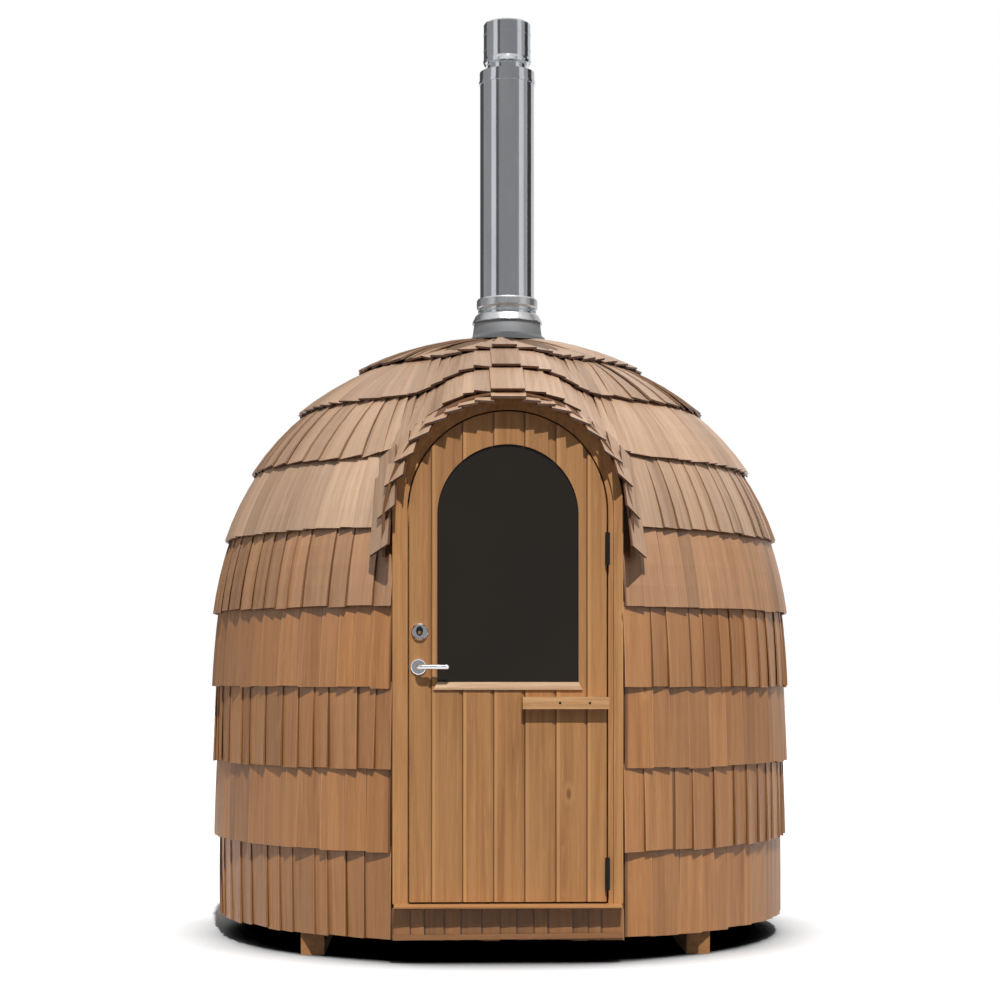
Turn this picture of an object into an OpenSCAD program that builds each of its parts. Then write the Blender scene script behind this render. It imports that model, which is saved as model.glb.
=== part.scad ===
// Igloo sauna: a round timber dome clad in lapped shingle courses, with an arched
// door under a hood that the courses sweep over, and an insulated flue through the crown.
// Millimetres. +Z is up, the ground is z = 0, the door faces -Y.

/* [Dome] */
// Greatest outer radius of the sheathing, at the belt
shell_r = 1170; // [970:10:1410]
// Height of the belt above the foot of the walls
belt_h = 920; // [840:10:1000]
// Height of the crown above the belt
crown_h = 1440; // [1360:10:1730]
// How far the walls draw in from the belt down to the foot
tuck = 34; // [10:2:60]
// Thickness of the sheathing
shell_t = 45; // [36:1:56]
// Open joint between panels, and under whatever is laid on a curved face
joint = 0.3; // [0.2:0.1:0.6]

/* [Shingles] */
// Radius of the dome at the lower edge of the top course
top_r = 576; // [500:1:660]
// How much taller the lowest course shows than the others
first_extra = 18; // [0:1:40]
// Thickness at the butt of a course
butt_t = 24; // [16:1:30]
// Thickness at the head of a course
head_t = 6; // [4:1:12]

/* [Base] */
// Height of the two skids
skid_h = 90; // [60:5:140]
// Width of a skid
skid_w = 88; // [60:2:120]
// Distance between the centre lines of the skids
skid_gap = 1457; // [1200:1:1500]
// How far the skids' ends stand out from the walls
skid_proud = 17; // [0:1:40]
// Height of the floor joists
joist_h = 90; // [60:5:120]
// Width of a floor joist
joist_w = 45; // [35:1:60]
// Distance between the centre lines of the joists
joist_pitch = 360; // [280:5:400]
// Thickness of the floor deck
deck_t = 28; // [20:1:40]
// Width of a floor board
board_w = 120; // [90:5:150]

/* [Door] */
// Width of the leaf
leaf_w = 720; // [600:2:800]
// Height of the leaf to the top of its arch
leaf_h = 1789; // [1700:1:1850]
// Thickness of the leaf
leaf_t = 40; // [34:1:50]
// Gap between the leaf and its frame
leaf_gap = 7; // [7:0.5:10]
// Width of a board of the leaf
plank_w = 113.5; // [90:0.5:130]
// Width of the frame's casing
casing_w = 34; // [25:1:50]
// Width of the step between the casing and the opening
step_w = 20; // [8:1:26]
// Depth of the frame
jamb_d = 100; // [90:1:120]
// How far the frame's face stands behind the belt
door_set = 50; // [40:1:70]
// Width of the stile beside the window
stile_w = 102; // [96:1:140]
// Height of the rail above the window
top_rail = 119; // [100:1:150]
// Height of the rail below the window
low_rail = 802; // [700:1:850]
// Thickness of the glass
glass_t = 6; // [4:1:8]
// Height of the lever above the leaf's foot
lever_h = 857; // [820:1:900]
// Distance of the lever's axis from the leaf's edge
lever_inset = 34; // [30:1:50]
// Height of the lock above the lever
lock_rise = 128; // [80:1:150]

/* [Hood] */
// Room between the door frame and the inside of the hood
hood_room = 39; // [28:1:50]
// How far the hood's lip stands before the door frame's face
lip_reach = 80; // [50:1:100]
// Height of the lip's underside above the leaf's arch
lip_rise = 44; // [38:1:70]
// Distance of the ridge's upper end from the dome's axis
ridge_end = 430; // [380:5:520]
// How far the hood's ends come down below the spring of the door's arch
skirt_drop = 166; // [120:1:200]
// Thickness of one layer of hood shingles
hood_t = 18; // [14:1:22]
// Thickness of the boards under the hood shingles
soffit_t = 12; // [8:1:18]

/* [Flue] */
// Radius of the insulated pipe
flue_r = 113; // [95:1:130]
// Radius of the flue bore
bore_r = 57.5; // [50:0.5:65]
// Height of the pipe above the crown
flue_rise = 1122; // [900:2:1400]
// How far the pipe hangs into the room below the crown
flue_drop = 200; // [120:10:300]
// Sideways place of the flue
flue_x = 30; // [0:1:60]

/* [Hidden] */
$fn = 180;

stained = "#a9774c";
shingle = "#9c7050";
pale = "#c08a55";
steel = "#b8bcc0";
zinc = "#8d9093";
dark = "#2a2624";

past = 1;                          // how far a cutter runs past a face
small_lap = 1;                     // how far two parts of one solid run into each other
far = 3000;                        // longer than any piece
round_side = 1.8;                  // exponents of the curve above the belt
round_top = 2.8;
wall_sweep = 72;                   // angle of a wall panel and of a dome panel
dome_sweep = 120;
course_count = 9;
per_course = 2;                    // straight stretches in one course
top_parts = 5;                     // straight stretches in the top course
top_start = (course_count - 1) * per_course;
wall_end = 4 * per_course;
last = top_start + top_parts;
hole_r = flue_r + 12;              // hole through the crown

// ---------------------------------------------------------------- the dome's curve

// The sheathing's outer face as [radius, height]: u runs 0 to 1 from the foot to the
// belt, and 1 to 2 from the belt to the crown.
function shell_point(u) = u < 1
    ? [shell_r - tuck * pow(1 - u, 2), belt_h * u]
    : [shell_r * pow(cos(90 * (u - 1)), 2 / round_side),
       belt_h + crown_h * pow(sin(90 * (u - 1)), 2 / round_top)];
function u_at_radius(r) = 1 + acos(pow(r / shell_r, round_side / 2)) / 90;

// Pairs of [length along the curve, u], and the same turned round
steps = 400;
arc_table = [for (i = 0, s = 0; i < steps;
    s = s + norm(shell_point(2 * (i + 1) / steps) - shell_point(2 * i / steps)), i = i + 1)
    [s, 2 * i / steps]];
length_table = [for (p = arc_table) [p[1], p[0]]];
stretch = (lookup(u_at_radius(top_r), length_table) - first_extra) / top_start;

// u and the point at each vertex of the skin
u_end = u_at_radius(hole_r - flue_x);
function skin_u(j) = j == 0 ? 0
    : j < top_start ? lookup(first_extra + j * stretch, arc_table)
    : u_at_radius(top_r) + (u_end - u_at_radius(top_r)) * (j - top_start) / top_parts;
skin = [for (j = [0:last]) shell_point(skin_u(j))];

// The skin moved outward by d at vertex j, and the end of a run that stops at vertex j
function unit(v) = v / norm(v);
function across(v) = [v[1], -v[0]];
function skin_out(j, d) =
    skin[j] + d * unit(across(skin[min(j + 1, last)] - skin[max(j - 1, 0)]));
function skin_stop(j, d) = skin_out(j, d) - joint * unit(skin[j] - skin[j - 1]);
function level(p) = [p[0], max(p[1], 0)];

// ---------------------------------------------------------------- derived places

foot_z = skid_h;
crown_z = foot_z + belt_h + crown_h;
foot_r = shell_r - tuck;
floor_z = foot_z + joist_h + deck_t;
floor_r = foot_r - shell_t - 2;
door_y = shell_r - door_set;
sill_t = 15;
sill_z = floor_z - 3;
sill_top = sill_z + sill_t;
leaf_z = sill_top + leaf_gap;
leaf_top = leaf_z + leaf_h;
arch_z = leaf_top - leaf_w / 2;
open_r = leaf_w / 2 + leaf_gap;
frame_r = open_r + step_w + casing_w;
hood_r = frame_r + hood_room;
lip_y = door_y + lip_reach;
lip_z = leaf_top + lip_rise;
ridge_sink = 20;                   // the ridge's inner line ends this deep in the dome
ridge_end_z = foot_z + shell_point(u_at_radius(ridge_end))[1] - ridge_sink;
hood_slope = atan((ridge_end_z - lip_z) / (lip_y - ridge_end));
skirt_z = arch_z - skirt_drop;

// ---------------------------------------------------------------- base

module skids() {
    outer = skid_gap / 2 + skid_w / 2;
    reach = sqrt(pow(foot_r, 2) - pow(outer, 2)) + skid_proud;
    color(stained) for (side = [-1, 1])
        translate([side * skid_gap / 2 - skid_w / 2, -reach, 0])
            cube([skid_w, 2 * reach, skid_h]);
}

module floor_joists() {
    reach = floor_r - 6;
    count = floor((reach - joist_w) / joist_pitch);
    color(stained) for (i = [-count:count]) {
        y = i * joist_pitch;
        half = sqrt(pow(reach, 2) - pow(abs(y) + joist_w / 2, 2));
        translate([-half, y - joist_w / 2, foot_z]) cube([2 * half, joist_w, joist_h]);
    }
}

// A V-groove along Y in a face that looks up, at the origin
module groove(depth, length)
    rotate([90, 0, 0]) linear_extrude(length, center = true)
        polygon([[-depth - past, past], [depth + past, past], [0, -depth]]);

module floor_deck() {
    count = ceil(floor_r / board_w);
    color(pale) translate([0, 0, floor_z]) difference() {
        translate([0, 0, -deck_t]) cylinder(r = floor_r, h = deck_t);
        translate([-far / 2, -door_y + jamb_d - far, -deck_t - past])
            cube([far, far, deck_t + 2 * past]);
        for (i = [-count:count]) translate([(i + 0.5) * board_w, 0, 0]) groove(3, far);
    }
}

module threshold_beam()
    color(stained) translate([-frame_r, -door_y, foot_z])
        cube([2 * frame_r, jamb_d, sill_z - foot_z]);

// The band of shingles under the sill, and the batten along its foot
band_t = 10;
batten_h = 9;
batten_t = 20;
module front_shingles() color(shingle) translate([-frame_r, -door_y, foot_z]) {
    translate([0, -band_t, 0]) cube([2 * frame_r, band_t, sill_z - foot_z - 2]);
    translate([-3, -batten_t, 0]) cube([2 * frame_r + 6, batten_t, batten_h]);
}

// The sill's nose falls to the front and is thinner there
sill_reach = 60;
sill_fall = 4;
nose_t = 6;
module door_sill() {
    half = frame_r - 6;
    color(stained) translate([-half, -door_y, sill_z]) rotate([90, 0, 90])
        linear_extrude(2 * half) polygon([[-sill_reach, sill_t - sill_fall - nose_t], [0, 0],
            [jamb_d, 0], [jamb_d, sill_t], [0, sill_t], [-sill_reach, sill_t - sill_fall]]);
}

// ---------------------------------------------------------------- sheathing

// The arched way through the wall, of radius r, without end to the front
module doorway(r)
    translate([0, 0, arch_z]) {
        rotate([90, 0, 0]) cylinder(r = r, h = far);
        translate([-r, -far, foot_z - past - arch_z]) cube([2 * r, far, arch_z - foot_z + past]);
    }

module wall_opening() doorway(frame_r + joint);

module shell_part(from, to, start, sweep)
    translate([0, 0, foot_z]) rotate([0, 0, start])
        rotate_extrude(angle = sweep)
            polygon(concat([for (j = [from:to - 1]) skin[j]],
                [skin_stop(to, 0), skin_stop(to, -shell_t)],
                [for (j = [to - 1:-1:from]) skin_out(j, -shell_t)]));

// All that lies under the skin moved outward by d
module shell_core(d)
    translate([0, 0, foot_z]) rotate_extrude()
        polygon(concat([[0, -past], [skin_out(0, d)[0], -past]],
            [for (j = [0:last]) skin_out(j, d)],
            [[0, skin_out(last, d)[1]]]));

joint_angle = joint / shell_r * 180 / PI;

module wall(i) color(pale) difference() {
    shell_part(0, wall_end, i * wall_sweep - 90, wall_sweep - joint_angle);
    wall_opening();
}

module dome(i) color(pale) difference() {
    shell_part(wall_end, top_start, i * dome_sweep - 150, dome_sweep - joint_angle);
    wall_opening();
}

module crown() color(pale) difference() {
    shell_part(top_start, last, 0, 360);
    translate([flue_x, 0, 0]) cylinder(r = hole_r, h = 2 * far);
}

// ---------------------------------------------------------------- shingle courses

// Half section of course k, thick at its butt and thin at its head, grown by g
function course_end(k) = k < course_count - 1 ? (k + 1) * per_course : last;
function course_t(k, j) = butt_t + (head_t - butt_t)
    * (j - k * per_course) / (course_end(k) - k * per_course);
module course_section(k, g = 0) {
    from = k * per_course;
    to = course_end(k);
    polygon(concat([for (j = [from:to - 1]) skin_out(j, joint)],
        [skin_stop(to, joint), skin_stop(to, joint + g + head_t)],
        [for (j = [to - 1:-1:from]) level(skin_out(j, joint + g + course_t(k, j)))]));
}

module course(k) color(shingle) difference() {
    translate([0, 0, foot_z]) rotate_extrude() course_section(k);
    wall_opening();
    if (k > 3) hood_outline(joint);
    if (k == course_count - 1) translate([flue_x, 0, 0]) cylinder(r = hole_r, h = 2 * far);
}

// ---------------------------------------------------------------- hood

// Bands of the hood: distance of each butt line behind the lip, and the thickness there
// in layers of shingles. The last entry is where the ridge ends.
hood_run = [0, 52, 300, 545, lip_y - ridge_end];
hood_layers = [1, 1.9, 2.2, 2.5];
bands = len(hood_layers);

// A round arch of radius r whose ridge climbs from the lip at the hood's slope
module hood_arch(r)
    translate([0, -lip_y, lip_z - hood_r / cos(hood_slope)])
        rotate([hood_slope, 0, 0]) translate([0, far / 2, 0]) {
            rotate([90, 0, 0]) cylinder(r = r, h = far);
            translate([-r, -far, -far / 4]) cube([2 * r, far, far / 4]);
        }

// What lies between two distances behind the lip and above the hood's ends
module hood_slab(from, to, g = 0)
    translate([-far / 2, -lip_y + from, skirt_z - g]) cube([far, to - from, far]);

module hood_outline(g) for (i = [0:bands - 1]) intersection() {
    hood_arch(hood_r + g + hood_t * hood_layers[i]);
    hood_slab(hood_run[i], hood_run[i + 1] + g, g);
}

module hood_band(i) color(shingle) difference() {
    intersection() {
        hood_arch(hood_r + hood_t * hood_layers[i]);
        hood_slab(hood_run[i], hood_run[i + 1]);
    }
    hood_arch(hood_r);
    shell_core(joint);
}

// The boards that carry the hood's shingles, hollowed out under the arch but for two ribs
// that stand on the frame
soffit_set = 60;                   // how far the boards end behind the lip
rib_t = 35;
rib_run = [145, 230];
module hood_ribs() color(stained) difference() {
    intersection() {
        hood_arch(hood_r - joint);
        hood_slab(soffit_set, lip_y - ridge_end);
    }
    for (bay = [[0, rib_run[0]], [rib_run[0] + rib_t, rib_run[1]], [rib_run[1] + rib_t, far]])
        intersection() {
            hood_arch(hood_r - soffit_t);
            hood_slab(bay[0], bay[1], past);
        }
    wall_opening();
    shell_core(joint);
}

lining_t = 22;
lining_drop = 100;                 // how far it comes down below the spring of the arch
module porch_lining() color(pale) difference() {
    intersection() {
        doorway(frame_r);
        translate([-far / 2, -door_y + jamb_d, arch_z - lining_drop])
            cube([far, door_y - jamb_d, far]);
    }
    doorway(frame_r - lining_t);
    shell_core(-shell_t);
}

// ---------------------------------------------------------------- door frame

step_set = 10;                     // how far the step lies behind the casing
stop_w = 20;                       // the stop that the leaf closes against
stop_t = 24;
stop_y = -door_y + leaf_t + leaf_gap;

module jamb(side) {
    tall = arch_z - sill_top;
    color(stained) difference() {
        for (part = [[open_r + step_w, casing_w, -door_y, jamb_d],
                [open_r, step_w + small_lap, -door_y + step_set, jamb_d - step_set],
                [open_r - stop_w, stop_w + small_lap, stop_y, stop_t]])
            translate([side > 0 ? part[0] : -part[0] - part[1], part[2], sill_top])
                cube([part[1], part[3], tall]);
        if (side > 0) at_hinges() plate(1);
    }
}

// Upper half of a ring standing in the wall, with its face at y
module half_ring(outer, inner, y, t)
    translate([0, y + t, arch_z]) rotate([90, 0, 0]) rotate_extrude(angle = 180)
        translate([inner, 0]) square([outer - inner, t]);

module door_head() color(stained) {
    half_ring(frame_r, open_r + step_w, -door_y, jamb_d);
    half_ring(open_r + step_w + small_lap, open_r, -door_y + step_set, jamb_d - step_set);
    half_ring(open_r + small_lap, open_r - stop_w, stop_y, stop_t);
}

// ---------------------------------------------------------------- door

window_w = leaf_w - 2 * stile_w;
window_z = leaf_z + low_rail;
window_arch_z = leaf_top - top_rail - window_w / 2;
rebate_w = 9;                      // how far the glass runs under its lip
lip_t = 6;                         // thickness of the leaf before the glass
lever_x = -leaf_w / 2 + lever_inset;
lever_z = leaf_z + lever_h;
lock_z = lever_z + lock_rise;

module arch_block(half, z0, z_arch, y0, y1) {
    translate([0, y1, z_arch]) rotate([90, 0, 0]) cylinder(r = half, h = y1 - y0);
    translate([-half, y0, z0]) cube([2 * half, y1 - y0, z_arch - z0]);
}

module window_block(grow, y0, y1)
    arch_block(window_w / 2 + grow, window_z - grow, window_arch_z, y0, y1);

glass_y = -door_y + lip_t;
// Plan of the joint between two boards of the leaf: a long bevel, then a slot
board_joint = [[-14, -past], [2, -past], [2, 5.5], [-2, 5.5], [-2, 4.5], [-14, 0]];
spindle_r = 5;
spindle_depth = 20;
module door_leaf() {
    groove_x = 59.5 - plank_w * floor((59.5 + leaf_w / 2 - 40) / plank_w);
    color(stained) difference() {
        arch_block(leaf_w / 2, leaf_z, arch_z, -door_y, -door_y + leaf_t);
        window_block(0, -door_y - past, glass_y + past);
        window_block(rebate_w, glass_y, -door_y + leaf_t + past);
        for (x = [groove_x:plank_w:leaf_w / 2 - 30])
            translate([x, -door_y, -past]) linear_extrude(far) polygon(board_joint);
        translate([lever_x, -door_y + spindle_depth + 4, lever_z]) rotate([90, 0, 0])
            cylinder(r = spindle_r + 0.4, h = spindle_depth + 5, $fn = 48);
        at_hinges() plate(-1);
    }
}

module window_glass()
    color(dark) window_block(rebate_w - 2, glass_y + joint, glass_y + joint + glass_t);

// The bead behind the glass, and the sloped bead below the window outside
bead_t = 12;
bead_h = 28;
bead_nose = 7;
bead_mitre = 14;
module window_bead() color(pale) {
    back_y = glass_y + 2 * joint + glass_t;
    difference() {
        window_block(rebate_w - joint, back_y, back_y + bead_t);
        window_block(0, back_y - past, back_y + bead_t + past);
    }
    half = window_w / 2;
    difference() {
        translate([-half - bead_mitre, -door_y, window_z - bead_h]) rotate([90, 0, 90])
            linear_extrude(2 * half + 2 * bead_mitre)
                polygon([[0, 0], [0, bead_h], [-2, bead_h], [-bead_nose, 8], [-bead_nose, 0]]);
        for (side = [-1, 1]) translate([side * half, -door_y + past, window_z])
            rotate([0, side * atan(bead_h / bead_mitre), 0])
                translate([-far / 4, -bead_nose - 2 * past, 0])
                    cube([far / 2, far / 4, bead_h]);
    }
}

bar_start = 53;                    // where the bar begins right of the door's middle
bar_t = 34;
bar_h = 44;
bar_drop = 98;                     // its foot lies this far below the window
bar_relief = 8;                    // its back is cut clear of the frame by this much
bar_past_axis = 4;
module stop_bar() color(stained)
    translate([bar_start, -door_y, window_z - bar_drop]) difference() {
        reach = hinge_x + bar_past_axis - bar_start;
        translate([0, -bar_t, 0]) cube([reach, bar_t, bar_h]);
        translate([reach - 49, -bar_relief, -past]) cube([far, bar_relief + past, bar_h + 2 * past]);
    }

rose_r = 28;
rose_t = 8;
neck_r = 9;
lock_r = 31;
// The lock's rose with its cylinder above, the lever's rose with its bore below
module roses() color(steel) {
    translate([lever_x + 5, -door_y, lock_z]) rotate([90, 0, 0]) difference() {
        union() {
            cylinder(r = lock_r, h = 5, $fn = 60);
            translate([0, 0, 5]) cylinder(r1 = lock_r, r2 = lock_r - 5, h = 6, $fn = 60);
            cylinder(r = 13, h = 14, $fn = 60);
        }
        translate([0, 0, 7]) difference() {
            cylinder(r = 22, h = 8, $fn = 60);
            cylinder(r = 13, h = 8, $fn = 60);
        }
        translate([-1.5, -6, 10]) cube([3, 12, 5]);
    }
    translate([lever_x, -door_y, lever_z]) rotate([90, 0, 0]) difference() {
        union() {
            cylinder(r = rose_r, h = rose_t - 2, $fn = 60);
            translate([0, 0, rose_t - 2]) cylinder(r1 = rose_r, r2 = rose_r - 3, h = 2, $fn = 60);
        }
        translate([0, 0, -past]) cylinder(r = neck_r + 0.4, h = rose_t + 2 * past, $fn = 60);
    }
}

// The lever's neck turns in its rose and a spindle runs into the leaf. A quarter bend
// leads into the grip.
grip_y = 36;
grip_r = 9.5;
grip_l = 113;
bend_r = 14;
module lever() color(steel) translate([lever_x, -door_y, lever_z]) {
    translate([0, -joint, 0]) rotate([90, 0, 0])
        cylinder(r = neck_r, h = grip_y - bend_r - joint, $fn = 48);
    translate([0, spindle_depth, 0]) rotate([90, 0, 0])
        cylinder(r = spindle_r, h = spindle_depth + small_lap, $fn = 48);
    translate([bend_r, -grip_y + bend_r, 0]) rotate([0, 0, 180]) rotate_extrude(angle = 90)
        translate([bend_r, 0]) circle(r = grip_r, $fn = 48);
    translate([bend_r, -grip_y, 0]) rotate([0, 90, 0])
        cylinder(r = grip_r, h = grip_l - grip_r - bend_r, $fn = 48);
    translate([grip_l - grip_r, -grip_y, 0]) sphere(r = grip_r, $fn = 48);
}

// ---------------------------------------------------------------- hinges

hinge_h = 118;
hinge_low = 44;                    // lower hinge above the leaf's foot
hinge_drop = 81;                   // upper hinge below the spring of the arch
pin_r = 4;
pin_gap = 0.4;
plate_t = 2.5;
plate_w = 35;
knuckle_r = 8.5;
knuckle_set = 1;                   // air between knuckle and leaf
half_gap = 0.5;                    // air between the two knuckles
hinge_x = leaf_w / 2 + leaf_gap / 2;
hinge_y = -door_y - knuckle_r - knuckle_set;

module at_hinges()
    for (z = [leaf_z + hinge_low, arch_z - hinge_drop - hinge_h])
        translate([hinge_x, hinge_y, z]) children();

// side is 1 for the jamb's half below and -1 for the leaf's half above
module at_half(side) translate([0, 0, side > 0 ? 0 : hinge_h / 2 + half_gap]) children();

module plate(side) at_half(side)
    translate([side > 0 ? leaf_gap / 2 : -leaf_gap / 2 - plate_t, 0, 0])
        cube([plate_t, plate_w, hinge_h / 2 - half_gap]);

module knuckle(side) at_half(side)
    cylinder(r = knuckle_r, h = hinge_h / 2 - half_gap, $fn = 48);

module hinge_knuckles() color(dark) at_hinges() difference() {
    union() {
        knuckle(-1);
        plate(-1);
    }
    cylinder(r = pin_r + pin_gap, h = hinge_h + past, $fn = 48);
}

module hinge_pins() color(dark) at_hinges() {
    knuckle(1);
    plate(1);
    cylinder(r = pin_r, h = hinge_h, $fn = 48);
}

// ---------------------------------------------------------------- flue

flue_z = crown_z + flue_rise;
flashing_top = crown_z + 72;
collar_h = 34;
ring_z = flashing_top + collar_h + 13;
clamp_z = ring_z + 14;
clamp_h = 41;

module on_flue(z) translate([flue_x, 0, z]) children();

module tube(r, z, h, inner = bore_r) on_flue(z) difference() {
    cylinder(r = r, h = h);
    translate([0, 0, -past]) cylinder(r = inner, h = h + 2 * past);
}

// The pipe with the rolled beads and the band at its head
module flue_pipe() color(steel) {
    tube(flue_r, crown_z - flue_drop, flue_rise + flue_drop);
    tube(flue_r + 2, flue_z - 40, 40);
    tube(flue_r + 5, flue_z - 50, 11);
}

// A cone round the pipe that turns square where it meets the shingles
square_z = crown_z - 10;           // level below which the foot is square
round_z = crown_z + 20;            // level above which it is round
round_r = flue_r + 32;
square_r = flue_r + 38;
module flashing() color(zinc) difference() {
    on_flue(0) {
        translate([0, 0, round_z])
            cylinder(r1 = round_r, r2 = flue_r + 25, h = flashing_top - round_z);
        hull() {
            translate([0, 0, round_z]) cylinder(r = round_r, h = small_lap, $fn = 64);
            translate([-square_r, -square_r, square_z - 40]) cube([2 * square_r, 2 * square_r, 40]);
        }
    }
    on_flue(0) cylinder(r = flue_r + joint, h = 2 * far);
    translate([0, 0, foot_z]) rotate_extrude() hull() {
        square([1, belt_h]);
        course_section(course_count - 1, joint);
    }
}

// The flared storm collar on the flashing, and above it a ring and the clamp band with
// its latch
module flue_collars() color(steel) {
    on_flue(flashing_top + joint) rotate_extrude() polygon([[flue_r + joint, 0],
        [flue_r + 33, 0], [flue_r + 33, 4], [flue_r + 20, collar_h - 3],
        [flue_r + 17, collar_h], [flue_r + joint, collar_h]]);
    tube(flue_r + 9, ring_z, 7, flue_r + joint);
    on_flue(clamp_z) rotate_extrude() polygon([[flue_r + joint, 0], [flue_r + 10, 0],
        [flue_r + 14, 6], [flue_r + 14, clamp_h - 6], [flue_r + 10, clamp_h],
        [flue_r + joint, clamp_h]]);
    on_flue(clamp_z + 9) rotate([0, 0, -108]) rotate_extrude(angle = 36)
        translate([flue_r + 12, 0]) square([8, clamp_h - 18]);
}

// An open head on a narrower neck, with two rolled beads and its lower edge drawn in
neck_h = 30;
head_h = 175;
head_r = flue_r - 15;
module flue_cap() color(steel) {
    tube(head_r - 15, flue_z, neck_h + small_lap);
    on_flue(flue_z + neck_h) rotate_extrude() polygon([[bore_r, 0], [head_r - 9, 0],
        [head_r - 1, 6], [head_r + 2.5, 17], [head_r, 27], [head_r, head_h - 6],
        [head_r - 4, head_h], [bore_r, head_h]]);
    for (z = [88, 154]) tube(head_r + 1.5, flue_z + z, 4);
}

skids();
floor_joists();
floor_deck();
threshold_beam();
front_shingles();
door_sill();
wall(0);  // wall_front_right
wall(1);  // wall_right
wall(2);  // wall_back
wall(3);  // wall_left
wall(4);  // wall_front_left
dome(0);  // dome_front
dome(1);  // dome_right
dome(2);  // dome_left
crown();
course(0);  // course_1
course(1);  // course_2
course(2);  // course_3
course(3);  // course_4
course(4);  // course_5
course(5);  // course_6
course(6);  // course_7
course(7);  // course_8
course(8);  // course_9
hood_band(0);  // hood_lip
hood_band(1);  // hood_course_low
hood_band(2);  // hood_course_mid
hood_band(3);  // hood_course_top
hood_ribs();
porch_lining();
jamb(-1);  // jamb_left
jamb(1);  // jamb_right
door_head();
door_leaf();
window_glass();
window_bead();
stop_bar();
roses();
lever();
hinge_knuckles();
hinge_pins();
flashing();
flue_collars();
flue_pipe();
flue_cap();
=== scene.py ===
"""Igloo sauna: finishes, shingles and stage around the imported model."""

import bpy
import numpy as np
from bpy.props import FloatProperty, FloatVectorProperty, IntProperty, PointerProperty
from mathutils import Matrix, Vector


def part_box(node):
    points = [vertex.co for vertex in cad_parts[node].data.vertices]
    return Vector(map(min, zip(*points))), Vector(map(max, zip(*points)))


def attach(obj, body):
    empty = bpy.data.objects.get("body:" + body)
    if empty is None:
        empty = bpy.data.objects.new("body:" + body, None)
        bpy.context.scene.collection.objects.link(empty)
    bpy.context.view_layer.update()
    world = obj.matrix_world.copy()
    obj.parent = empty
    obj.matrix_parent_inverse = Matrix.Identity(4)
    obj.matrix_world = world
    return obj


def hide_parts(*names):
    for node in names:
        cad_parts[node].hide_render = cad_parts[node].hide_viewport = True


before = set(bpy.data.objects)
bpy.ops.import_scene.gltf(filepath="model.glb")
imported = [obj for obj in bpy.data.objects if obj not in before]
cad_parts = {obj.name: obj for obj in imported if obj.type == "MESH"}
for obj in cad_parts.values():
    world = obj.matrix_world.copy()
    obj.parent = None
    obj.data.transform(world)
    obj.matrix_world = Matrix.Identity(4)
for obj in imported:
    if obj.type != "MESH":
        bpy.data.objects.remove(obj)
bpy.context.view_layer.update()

bl_info = {
    "name": "Igloo sauna",
    "version": (1, 1, 0),
    "blender": (4, 5, 0),
    "location": "3D View > Sidebar > Sauna",
    "description": "Shingles, joinery, flue and stage of an igloo sauna",
    "category": "Object",
}


# ---- measures

def box(node):
    """Lowest and highest corner of a node's box at rest."""
    return np.array(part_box(node))


FOOT_Z = box("course_1")[0, 2]
DOME_R = box("wall_right")[1, 0]
FRAME_HALF = box("door_head")[1, 0]
LIP_Y = box("hood_lip")[0, 1]
# The hood's slope, the height of its ridge at the lip, and half the width it takes from
# the course behind it; the radius at which the top course ends at the flue.
HOOD_SLOPE = np.radians(20)
HOOD_CROWN_Z = 2.060
HOOD_HALF = 0.405
FLUE_FOOT_R = 0.105
COURSES = 9


def a_number(name, description, default, **limits):
    """A number property."""
    return FloatProperty(name=name, description=description, default=default, **limits)


def a_length(name, description, default, **limits):
    """A number property in metres."""
    return a_number(name, description, default, unit="LENGTH", **limits)


class ShingleSizes(bpy.types.PropertyGroup):
    width: a_length("Shingle width", "Mean width of one shingle", 0.092, min=0.06, max=0.16)
    thickness: a_length("Shingle thickness", "Thickness at the butt", 0.0085, min=0.004, max=0.02)
    lap: a_length("Side lap", "How far a shingle's lapped edge stands up", 0.0112, min=0, max=0.02)
    exposure: a_length("Exposure", "Height of a course along the curve", 0.300, min=0.2, max=0.4)
    seed: IntProperty(name="Seed", description="Seed of the uneven widths", default=7)


def a_colour(name, description, colour):
    """A colour property."""
    return FloatVectorProperty(name=name, description=description, subtype="COLOR",
                               default=colour, min=0, max=1)


class SaunaColours(bpy.types.PropertyGroup):
    shingle: a_colour("Shingles", "Colour of the lower courses", (0.385, 0.166, 0.053))
    # The greyed stain of the courses that face the sky: part weathering, part painted sheen.
    weathered_and_sheen: a_colour("Weathered shingles", "Colour of the courses that face the sky",
                        (0.455, 0.290, 0.182))
    joinery: a_colour("Joinery", "Colour of the door and frame", (0.405, 0.192, 0.069))
    bead: a_colour("Window bead", "Colour of the bead at the window", (0.60, 0.39, 0.23))
    inner: a_colour("Inner boards", "Colour of the boards inside", (0.30, 0.17, 0.08))
    glass: a_colour("Glass", "Tint of the window", (0.020, 0.0165, 0.0135))


class StageSizes(bpy.types.PropertyGroup):
    distance: a_length("Camera distance", "From the middle of the dome", 8.7, min=4, max=30)
    side: a_length("Camera sideways", "Sideways place of the camera", -0.2266)
    eye: a_length("Eye height", "Height of the camera above the ground", 1.0486, min=0)
    lens: a_number("Focal length", "In millimetres, on a 36 mm sensor", 74.86, min=20, max=200)
    rise: a_number("Lens rise", "Upward shift of the picture", 0.1767, min=-0.5, max=0.5)
    sun: a_number("Sun", "Strength of the sun", 3.75, min=0)
    sun_height: a_number("Sun height", "Elevation of the sun", np.radians(56), subtype="ANGLE")
    sun_turn: a_number("Sun turn", "How far the sun stands to the right", np.radians(6),
                       subtype="ANGLE")
    fill: a_number("Fill", "Strength of the even fill light", 0.13, min=0)
    side_fill: a_number("Side fill", "Strength of the soft side lights", 1.5, min=0)


# ---- meshes

def unit(v):
    """Vectors scaled to length one."""
    return v / np.maximum(np.linalg.norm(v, axis=-1, keepdims=True), 1e-12)


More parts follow.
